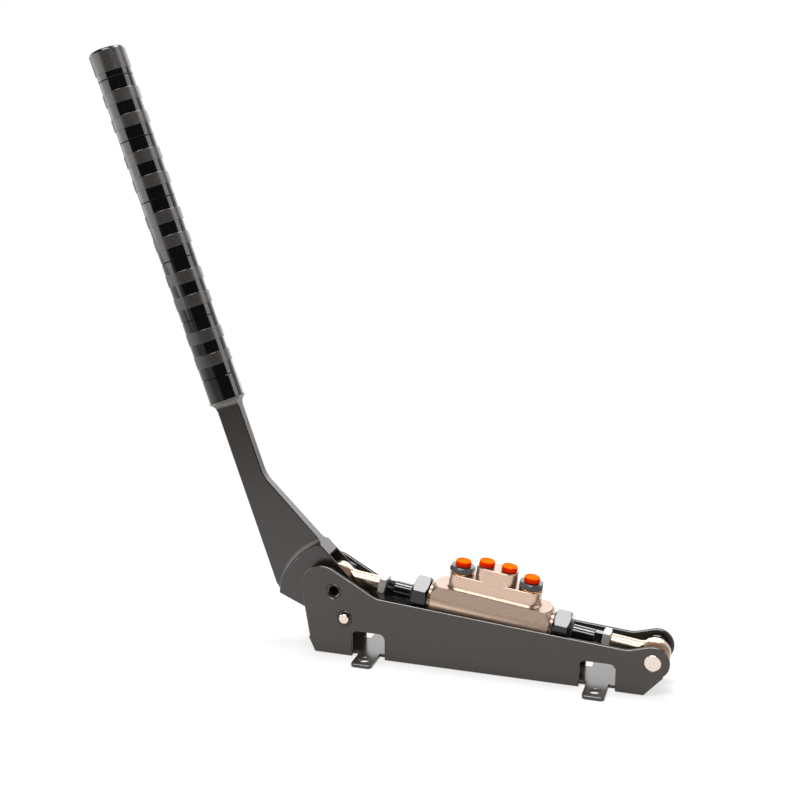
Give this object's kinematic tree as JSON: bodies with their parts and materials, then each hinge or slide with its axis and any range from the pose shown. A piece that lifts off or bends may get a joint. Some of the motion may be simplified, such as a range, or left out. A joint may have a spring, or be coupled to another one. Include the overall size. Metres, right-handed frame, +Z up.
{
  "type": "parking brake lever",
  "caption": "Upright hydraulic parking brake lever: banded round grip on a forked arm, hinged in a folded channel base and pushing a floating master cylinder held between rod ends.",
  "frame": {"origin": "centre of the four base holes, on the underside of the channel", "axes": "+X along the channel towards the rear rod end, +Y across the channel, +Z up; the lever leans towards -X at rest"},
  "size_m": [0.4684, 0.076, 0.4767],
  "materials": {
    "channel_paint": "satin powder coat, black",
    "lever_black": "bead-blasted and black anodised, satin",
    "grip_black": "turned, knurled in bands and black anodised, gloss",
    "core_alloy": "plain drawn tube",
    "bright_pin": "turned, bright",
    "zinc": "zinc plated, bright",
    "liner_bronze": "pressed bronze liner",
    "ball_chrome": "ground and chromed",
    "black_steel": "black oxide, polished",
    "bush_plastic": "machined bearing plastic, black",
    "seal_rubber": "moulded, matt",
    "piston_alloy": "turned, clear anodised",
    "body_anodised": "bead-blasted and bronze anodised, satin",
    "adaptor_grey": "grey plated",
    "copper_washer": "annealed copper",
    "plug_orange": "moulded, orange"
  },
  "bodies": {
    "base": {"base_channel": "channel_paint", "pivot_bushes": "bush_plastic", "keeper_pucks": "bush_plastic", "rear_pin": "bright_pin", "rear_pin_screw": "bright_pin", "rear_spacers": "black_steel", "rear_ball": "ball_chrome"},
    "lever": {"lever": "lever_black", "pivot_pin": "bright_pin", "clevis_pin": "bright_pin", "clevis_washers": "zinc", "grip_tube": "core_alloy", "grip_foot_ring": "grip_black", "grip_sleeve_1": "grip_black", "grip_sleeve_2": "grip_black", "grip_sleeve_3": "grip_black", "grip_sleeve_4": "grip_black", "grip_sleeve_5": "grip_black", "grip_cap": "grip_black"},
    "rear_link": {"rear_rod_end": "zinc", "rear_race": "liner_bronze", "rear_jam_nut": "zinc", "rear_pushrod": "black_steel", "rear_piston": "piston_alloy", "rear_seal": "seal_rubber"},
    "cylinder": {"cylinder_body": "body_anodised", "front_gland": "black_steel", "rear_gland": "black_steel", "front_wiper": "seal_rubber", "rear_wiper": "seal_rubber", "port_adaptors": "adaptor_grey", "port_washers": "copper_washer", "port_plugs": "plug_orange"},
    "front_link": {"front_rod_end": "zinc", "front_race": "liner_bronze", "front_ball": "ball_chrome", "front_jam_nut": "zinc", "front_pushrod": "black_steel", "front_piston": "piston_alloy", "front_seal": "seal_rubber"}
  },
  "joints": [
    {"name": "lever_hinge", "type": "hinge", "parent": "base", "child": "lever", "pos_m": [-0.1109, 0, 0.032], "axis": [0, 1, 0], "range_deg": [0, 20]},
    {"name": "rear_swing", "type": "hinge", "parent": "base", "child": "rear_link", "pos_m": [0.132, 0, 0.0268], "axis": [0, 1, 0], "range_deg": [0, 0.7601]},
    {"name": "cylinder_slide", "type": "slide", "parent": "rear_link", "child": "cylinder", "axis": [0.9913, 0, -0.1317], "range_m": [0, 0.00494]},
    {"name": "front_slide", "type": "slide", "parent": "cylinder", "child": "front_link", "axis": [0.9913, 0, -0.1317], "range_m": [0, 0.00494]}
  ],
  "couplings": [
    {"joint": "rear_swing", "follows": "lever_hinge", "ratio": 0.03798},
    {"joint": "cylinder_slide", "follows": "lever_hinge", "m_per_rad": 0.014151},
    {"joint": "front_slide", "follows": "lever_hinge", "m_per_rad": 0.014151}
  ]
}
